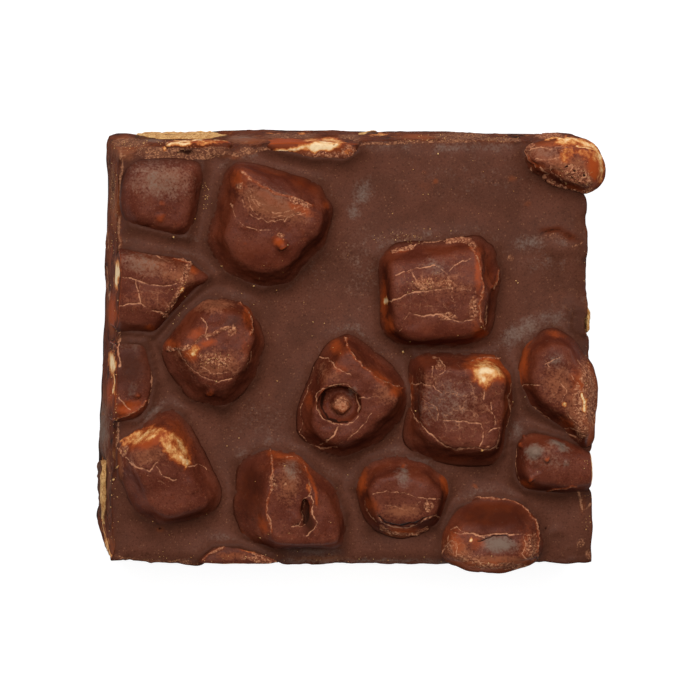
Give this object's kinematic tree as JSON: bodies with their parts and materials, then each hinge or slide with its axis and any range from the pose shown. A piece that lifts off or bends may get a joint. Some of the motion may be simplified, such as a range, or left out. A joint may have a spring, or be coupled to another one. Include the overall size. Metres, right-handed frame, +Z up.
{
  "type": "rocky road",
  "caption": "Cut square of rocky road: milk chocolate with coated marshmallow lumps standing out of its top and biscuit in its cut sides.",
  "frame": {"origin": "middle of the underside of the whole part's box", "axes": "+X along the longer side of the square, +Y along the shorter side, +Z up from the flat underside to the lumpy top"},
  "size_m": [0.0748, 0.0654, 0.0272],
  "materials": {
    "chocolate": "satin milk chocolate with a faint grey bloom, rough and crumbly where it was cut",
    "marshmallow_coat": "marshmallow under a thin cracked milk chocolate coat, cream where it is torn or cut",
    "biscuit": "matt crumbly golden biscuit"
  },
  "bodies": {
    "root": {"chocolate_slab": "chocolate", "marshmallow_far_left_corner": "marshmallow_coat", "marshmallow_far_left": "marshmallow_coat", "marshmallow_left_upper": "marshmallow_coat", "marshmallow_left_middle": "marshmallow_coat", "marshmallow_left_edge": "marshmallow_coat", "marshmallow_near_left": "marshmallow_coat", "marshmallow_near_slit": "marshmallow_coat", "marshmallow_hollow": "marshmallow_coat", "marshmallow_centre_block": "marshmallow_coat", "marshmallow_heart_block": "marshmallow_coat", "marshmallow_right_oval": "marshmallow_coat", "marshmallow_right_gloss": "marshmallow_coat", "marshmallow_near_middle": "marshmallow_coat", "marshmallow_near_bulge": "marshmallow_coat", "marshmallow_near_sliver": "marshmallow_coat", "marshmallow_far_right_corner": "marshmallow_coat", "marshmallow_far_sliver": "marshmallow_coat", "marshmallow_far_side": "marshmallow_coat", "biscuit_far_side": "biscuit", "biscuit_far_middle": "biscuit", "biscuit_left_side": "biscuit", "biscuit_right_edge": "biscuit", "biscuit_right_side": "biscuit", "biscuit_near_side": "biscuit"}
  },
  "joints": []
}
